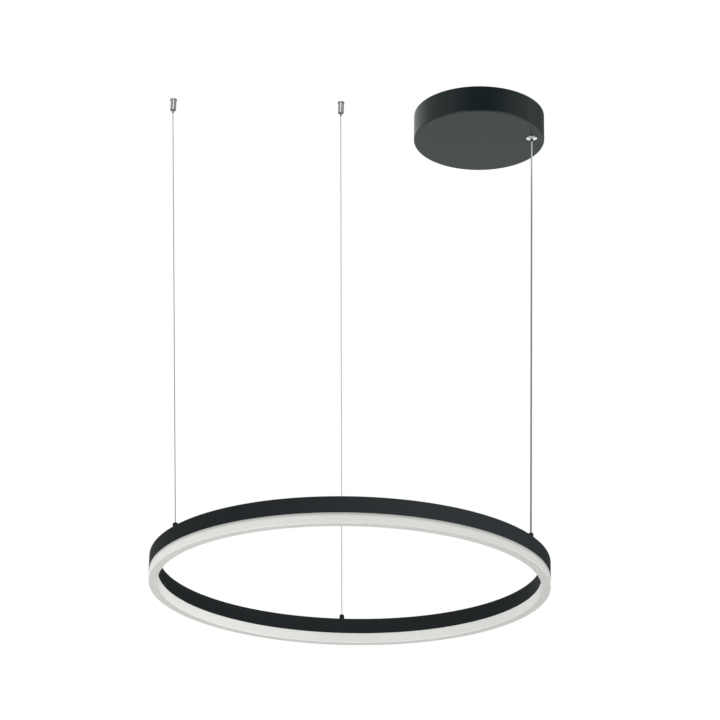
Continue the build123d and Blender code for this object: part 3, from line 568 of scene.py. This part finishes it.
# Bare drawn steel wire: bright on the crown of each strand and dark in the lay between strands.
rope_steel, tree = new_material("bare drawn steel rope")
place = add(tree, "ShaderNodeTexCoord")
drawn = add(tree, "ShaderNodeTexNoise", {"Vector": place.outputs["Object"], "Scale": 1 / 0.004,
                                         "Detail": 2.0})
tone = add(tree, "ShaderNodeMix", {"Factor": drawn.outputs["Fac"], "A": linear("#86888a"),
                                   "B": linear("#949698")}, data_type="RGBA")
dull = add(tree, "ShaderNodeMapRange", {"Value": drawn.outputs["Fac"], "To Min": 0.26, "To Max": 0.38})
steel = add(tree, "ShaderNodeBsdfPrincipled", {"Base Color": tone.outputs["Result"], "Metallic": 1.0,
                                               "Roughness": dull.outputs["Result"]})
add(tree, "ShaderNodeOutputMaterial", {"Surface": steel.outputs[0]})


def middle_of(node):
    """Centre of a CAD node's box."""
    low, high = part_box(node)
    return (low + high) / 2


swing_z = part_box("outlet_nipple")[0].z      # the lines swing at the outlet's mouth
ring_low, ring_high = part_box("ring_profile")
ring_w = 0.014                              # from the ring's inside to its outside
hoop = middle_of("ring_profile")
hoop_r = (ring_high.x - ring_low.x) / 2 - ring_w / 2
ball_depth = 0.0024                         # from a cap's top down to the centre of the swaged ball
ball_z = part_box("connector_caps")[1].z - ball_depth
neck = 0.0029                               # from a ball's centre to just past its neck
bend_drop = 0.001                           # a wire's bend under its nipple
straight = 6 * rope_d                       # wire to each side of the bend


def ball_at(degrees):
    """Centre of the swaged ball in the connector at this angle of the ring."""
    turn = math.radians(degrees)
    return Vector((hoop.x + hoop_r * math.cos(turn), hoop.y + hoop_r * math.sin(turn), ball_z))


for side, degrees in (("left", 207.0), ("rear", 89.3)):
    anchor = middle_of(f"{side}_anchor_base")
    bend = Vector((anchor.x, anchor.y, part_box(f"{side}_anchor_nipple")[0].z - bend_drop))
    plug_top = Vector((anchor.x, anchor.y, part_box(f"{side}_anchor_plug")[1].z))
    end = ball_at(degrees)
    start = bend.lerp(end, (swing_z - bend.z) / (end.z - bend.z))
    down = (end - start).normalized()
    end -= down * neck
    path = route(f"{side}_wire_route", [start, end], steps=720)
    wire = follow(f"{side}_wire_rope", path, rope_section)
    wire.data.materials.append(rope_steel)
    held = route(f"{side}_tail_route",
                 [plug_top, bend + Vector((0, 0, straight)), bend, bend + down * straight, start], steps=24)
    tail = follow(f"{side}_wire_held_end", held, rope_section)
    tail.data.materials.append(rope_steel)
    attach(wire, "lines")
    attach(tail, "ceiling_fixings")
    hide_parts(f"{side}_wire")
    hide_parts(f"{side}_wire_tail")
    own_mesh(wire)
dress(polished, "wire_ball_ends")


# Power cable. A slim round cable carries the current and a third of the weight: a tinned braid under a
# clear jacket, 2.6 mm in all, from the canopy's outlet to the third connector.
cable_d = 0.0026
feed_degrees = 330.6        # the third connector's angle of the ring
swing_room = 0.00025        # under the held end, for when the cable swings

# Tinned copper braid in clear PVC: crossing grey bands under a glossy skin. Its picks, 0.6 mm long, are
# drawn at 2 mm to show.
pick_length = 0.002
picks_round = 8
braid, tree = new_material("tinned braid in clear PVC")
place = add(tree, "ShaderNodeTexCoord")
spot = add(tree, "ShaderNodeSeparateXYZ", {"Vector": place.outputs["UV"]})
along = add(tree, "ShaderNodeMath", {0: spot.outputs["Y"], 1: math.pi / pick_length}, operation="MULTIPLY")
around = add(tree, "ShaderNodeMath", {0: spot.outputs["X"], 1: math.pi * picks_round}, operation="MULTIPLY")
lean_one = add(tree, "ShaderNodeMath", {0: along.outputs[0], 1: around.outputs[0]}, operation="ADD")
lean_two = add(tree, "ShaderNodeMath", {0: along.outputs[0], 1: around.outputs[0]}, operation="SUBTRACT")
one = add(tree, "ShaderNodeMath", {0: lean_one.outputs[0]}, operation="SINE")
two = add(tree, "ShaderNodeMath", {0: lean_two.outputs[0]}, operation="SINE")
weave = add(tree, "ShaderNodeMath", {0: one.outputs[0], 1: two.outputs[0]}, operation="MULTIPLY")
pick = add(tree, "ShaderNodeMapRange", {"Value": weave.outputs[0], "From Min": -0.6, "From Max": 0.6})
tone = add(tree, "ShaderNodeMix", {"Factor": pick.outputs["Result"], "A": linear("#757779"),
                                   "B": linear("#87898a")}, data_type="RGBA")
bumps = add(tree, "ShaderNodeBump", {"Height": pick.outputs["Result"], "Strength": 0.15, "Distance": 0.0001})
jacket = add(tree, "ShaderNodeBsdfPrincipled", {"Base Color": tone.outputs["Result"], "Metallic": 0.1,
                                                "Roughness": 0.42, "Coat Weight": 1.0, "Coat Roughness": 0.06,
                                                "Coat IOR": 1.53, "Normal": bumps.outputs["Normal"]})
add(tree, "ShaderNodeOutputMaterial", {"Surface": jacket.outputs[0]})

outlet = middle_of("outlet_nipple")
start = Vector((outlet.x, outlet.y, swing_z))
end = ball_at(feed_degrees)
down = (end - start).normalized()
start += down * swing_room
end -= down * neck
path = route("power_cable_route", [start, end], steps=360)
cable = follow("power_cable_braid", path, round_section(cable_d, sides=24))
cable.data.materials.append(braid)
dress(braid, "power_cable_tail")
dress(polished, "cable_ball_end")

# A small lamp by the outlet is kept to the cable, which hangs there in front of the dark canopy. The
# jacket doesn't mirror it.
near_lamp = lamp("cable_light", spot=(outlet.x + 0.03, outlet.y - 0.08, -0.065),
                 aim=(outlet.x, outlet.y, -0.062), wide=0.03, tall=0.03, watts=0.16,
                 only=[cable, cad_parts["power_cable_tail"]])
near_lamp.visible_glossy = False
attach(cable, "lines")
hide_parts("power_cable")
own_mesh(cable)


# Ring profile and connectors. An aluminium extrusion rolled to a hoop and powder coated black. Each cap,
# turned from bar in the same finish, is screwed on a hollow brass stud from inside the profile and holds a
# line's ball.
# Satin powder coat: an even black, nearly matt. The orange peel, about 0.6 mm across, is drawn at 2 mm.
ring_coat, tree = new_material("satin black powder coat on aluminium")
place = add(tree, "ShaderNodeTexCoord")
peel = add(tree, "ShaderNodeTexNoise", {"Vector": place.outputs["Object"], "Scale": 1 / 0.002, "Detail": 2.0})
cloud = add(tree, "ShaderNodeTexNoise", {"Vector": place.outputs["Object"], "Scale": 1 / 0.08, "Detail": 3.0})
tone = add(tree, "ShaderNodeMix", {"Factor": cloud.outputs["Fac"], "A": linear("#212527"),
                                   "B": linear("#262a2b")}, data_type="RGBA")
gloss = add(tree, "ShaderNodeMapRange", {"Value": cloud.outputs["Fac"], "To Min": 0.56, "To Max": 0.64})
bumps = add(tree, "ShaderNodeBump", {"Height": peel.outputs["Fac"], "Strength": 0.12, "Distance": 0.0002})
coat = add(tree, "ShaderNodeBsdfPrincipled", {"Base Color": tone.outputs["Result"],
                                              "Specular IOR Level": 0.04,
                                              "Roughness": gloss.outputs["Result"],
                                              "Normal": bumps.outputs["Normal"]})
add(tree, "ShaderNodeOutputMaterial", {"Surface": coat.outputs[0]})
dress(ring_coat, "ring_profile", "connector_caps")
dress(brass, "connector_studs")

# A long thin light at the ring's height, right of the camera, is kept to the black coat and lifts it to
# a dark grey.
lamp("band_light", spot=(1.71, -2.14, hoop.z), aim=hoop, wide=2.6, tall=0.15, watts=46.0,
     only=[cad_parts["ring_profile"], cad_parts["connector_caps"]])


# Joiner. A curved bar in the profile's upper chamber bridges the butt joint, held by two grub screws from
# above.
# Mill-finish aluminium: a soft grey metal with the lines of the extrusion die, drawn 1 mm apart to show.
die_gap = 0.001
mill_aluminium, tree = new_material("mill-finish extruded aluminium")
place = add(tree, "ShaderNodeTexCoord")
die = add(tree, "ShaderNodeTexWave", {"Vector": place.outputs["Object"], "Distortion": 1.0, "Detail": 2.0,
                                      "Scale": 2 * math.pi / (20 * die_gap)},
          wave_type="BANDS", bands_direction="Z")
dull = add(tree, "ShaderNodeMapRange", {"Value": die.outputs["Fac"], "To Min": 0.30, "To Max": 0.42})
bumps = add(tree, "ShaderNodeBump", {"Height": die.outputs["Fac"], "Strength": 0.06, "Distance": 0.0001})
drawn = add(tree, "ShaderNodeBsdfPrincipled", {"Base Color": linear("#cbcdce"), "Metallic": 1.0,
                                               "Roughness": dull.outputs["Result"],
                                               "Normal": bumps.outputs["Normal"]})
add(tree, "ShaderNodeOutputMaterial", {"Surface": drawn.outputs[0]})
dress(mill_aluminium, "ring_joiner")
dress(black_oxide, "joiner_screws")


# LED strip. A white flexible circuit stuck under the profile's shelf, with a row of chips that face down
# into the diffuser. Two leads come down to it through the third connector's stud.
# White solder mask on polyimide: a flat clean white, a little uneven where the copper lies under it.
strip_mask, tree = new_material("white solder mask on polyimide")
place = add(tree, "ShaderNodeTexCoord")
copper = add(tree, "ShaderNodeTexNoise", {"Vector": place.outputs["Object"], "Scale": 1 / 0.005,
                                          "Detail": 2.0})
tone = add(tree, "ShaderNodeMix", {"Factor": copper.outputs["Fac"], "A": linear("#e9eae7"),
                                   "B": linear("#f3f3f0")}, data_type="RGBA")
gloss = add(tree, "ShaderNodeMapRange", {"Value": copper.outputs["Fac"], "To Min": 0.40, "To Max": 0.55})
mask = add(tree, "ShaderNodeBsdfPrincipled", {"Base Color": tone.outputs["Result"],
                                              "Roughness": gloss.outputs["Result"]})
add(tree, "ShaderNodeOutputMaterial", {"Surface": mask.outputs[0]})
dress(strip_mask, "led_strip")

# Phosphor in silicone, in a white package: yellow on the face that looks down, white at the sides.
phosphor, tree = new_material("phosphor in silicone")
place = add(tree, "ShaderNodeTexCoord")
face = add(tree, "ShaderNodeSeparateXYZ", {"Vector": place.outputs["Normal"]})
down_face = add(tree, "ShaderNodeMath", {0: face.outputs["Z"], 1: -0.5}, operation="LESS_THAN")
grit = add(tree, "ShaderNodeTexNoise", {"Vector": place.outputs["Object"], "Scale": 1 / 0.0005,
                                        "Detail": 2.0})
gel = add(tree, "ShaderNodeMix", {"Factor": grit.outputs["Fac"], "A": linear("#e6c84a"),
                                  "B": linear("#f2dc70")}, data_type="RGBA")
tone = add(tree, "ShaderNodeMix", {"Factor": down_face.outputs[0], "A": linear("#efefec"),
                                   "B": gel.outputs["Result"]}, data_type="RGBA")
chip = add(tree, "ShaderNodeBsdfPrincipled", {"Base Color": tone.outputs["Result"], "IOR": 1.41,
                                              "Roughness": 0.25})
add(tree, "ShaderNodeOutputMaterial", {"Surface": chip.outputs[0]})
dress(phosphor, "led_chips")

# The feed leads stand side by side along the ring, one red and one black.
feed_turn = math.radians(feed_degrees)
ringwise = Vector((-math.sin(feed_turn), math.cos(feed_turn), 0.0))
skin, tree, place, factor = insulation("soft PVC on the feed leads", "#a3201f", "#1a1a1b")
along = add(tree, "ShaderNodeVectorMath", {0: place.outputs["Object"], 1: ringwise}, operation="DOT_PRODUCT")
second = add(tree, "ShaderNodeMath", {0: along.outputs["Value"], 1: ball_at(feed_degrees).dot(ringwise)},
             operation="GREATER_THAN")
tree.links.new(second.outputs[0], factor)
dress(skin, "feed_leads")


# Diffuser. A U of opal acrylic, extruded and bent to the hoop, that snaps into the profile's channel.
# Opal acrylic: a soft milky white that lets a little light in. Painted shade makes it greyer on its
# underside, which has only the dark channel behind it, and on the outside just under the metal's edge.
rim_z = ring_low.z
shade_full = 0.0006     # under the metal's edge, where the painted shade is full
shade_gone = 0.0062     # and where it has faded out
opal, tree = new_material("satin opal acrylic")
place = add(tree, "ShaderNodeTexCoord")
spot = add(tree, "ShaderNodeSeparateXYZ", {"Vector": place.outputs["Object"]})
away = add(tree, "ShaderNodeVectorMath", {0: place.outputs["Object"], 1: hoop}, operation="SUBTRACT")
outward = add(tree, "ShaderNodeVectorMath", {0: away.outputs["Vector"], 1: place.outputs["Normal"]},
              operation="DOT_PRODUCT")
outer = add(tree, "ShaderNodeMapRange", {"Value": outward.outputs["Value"], "From Min": 0.0,
                                         "From Max": 0.1})
# Painted shade: a grey band on the outside, just under the metal's edge.
edge_shade = add(tree, "ShaderNodeMapRange", {"Value": spot.outputs["Z"], "From Min": rim_z - shade_gone,
                                        "From Max": rim_z - shade_full, "To Max": outer.outputs["Result"]},
           interpolation_type="SMOOTHSTEP")
milk = add(tree, "ShaderNodeTexNoise", {"Vector": place.outputs["Object"], "Scale": 1 / 0.05, "Detail": 2.0})
body = add(tree, "ShaderNodeMix", {"Factor": milk.outputs["Fac"], "A": linear("#e5e6e2"),
                                   "B": linear("#ecede9")}, data_type="RGBA")
# Painted shade: the faces that look down are greyer.
face = add(tree, "ShaderNodeSeparateXYZ", {"Vector": place.outputs["Normal"]})
underside_shade = add(tree, "ShaderNodeMapRange", {"Value": face.outputs["Z"], "From Min": -0.4, "From Max": -0.9})
wall = add(tree, "ShaderNodeMix", {"Factor": underside_shade.outputs["Result"], "A": body.outputs["Result"],
                                   "B": linear("#c8c8c4")}, data_type="RGBA")
tone = add(tree, "ShaderNodeMix", {"Factor": edge_shade.outputs["Result"], "A": wall.outputs["Result"],
                                   "B": linear("#bdbebb")}, data_type="RGBA")
gloss = add(tree, "ShaderNodeMapRange", {"Value": milk.outputs["Fac"], "To Min": 0.34, "To Max": 0.42})
acrylic = add(tree, "ShaderNodeBsdfPrincipled", {"Base Color": tone.outputs["Result"], "IOR": 1.49,
                                                 "Roughness": gloss.outputs["Result"],
                                                 "Subsurface Weight": 0.2,
                                                 "Subsurface Radius": (0.004, 0.004, 0.004),
                                                 "Subsurface Scale": 1.0})
add(tree, "ShaderNodeOutputMaterial", {"Surface": acrylic.outputs[0]})
dress(opal, "diffuser")

# Three lights are kept to the diffuser: one in the middle of the hoop for its inside at the left, one low
# at the left for that end, and one behind at the right for the other end.
opal_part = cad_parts["diffuser"]
opal_z = middle_of("diffuser").z
lamp("opal_light_inside", spot=(hoop.x, hoop.y, opal_z), aim=(hoop.x - 0.2, hoop.y, opal_z),
     wide=0.04, tall=0.01, watts=0.23, only=[opal_part])
lamp("opal_light_below", spot=(hoop.x - 1.0, hoop.y - 0.2, opal_z - 0.8), aim=(hoop.x - 0.3, hoop.y, opal_z),
     wide=0.5, tall=0.5, watts=2.0, only=[opal_part])
lamp("opal_light_behind", spot=(hoop.x + 1.5, hoop.y + 1.0, opal_z), aim=(hoop.x + 0.3, hoop.y, opal_z),
     wide=0.5, tall=0.1, watts=5.5, only=[opal_part])
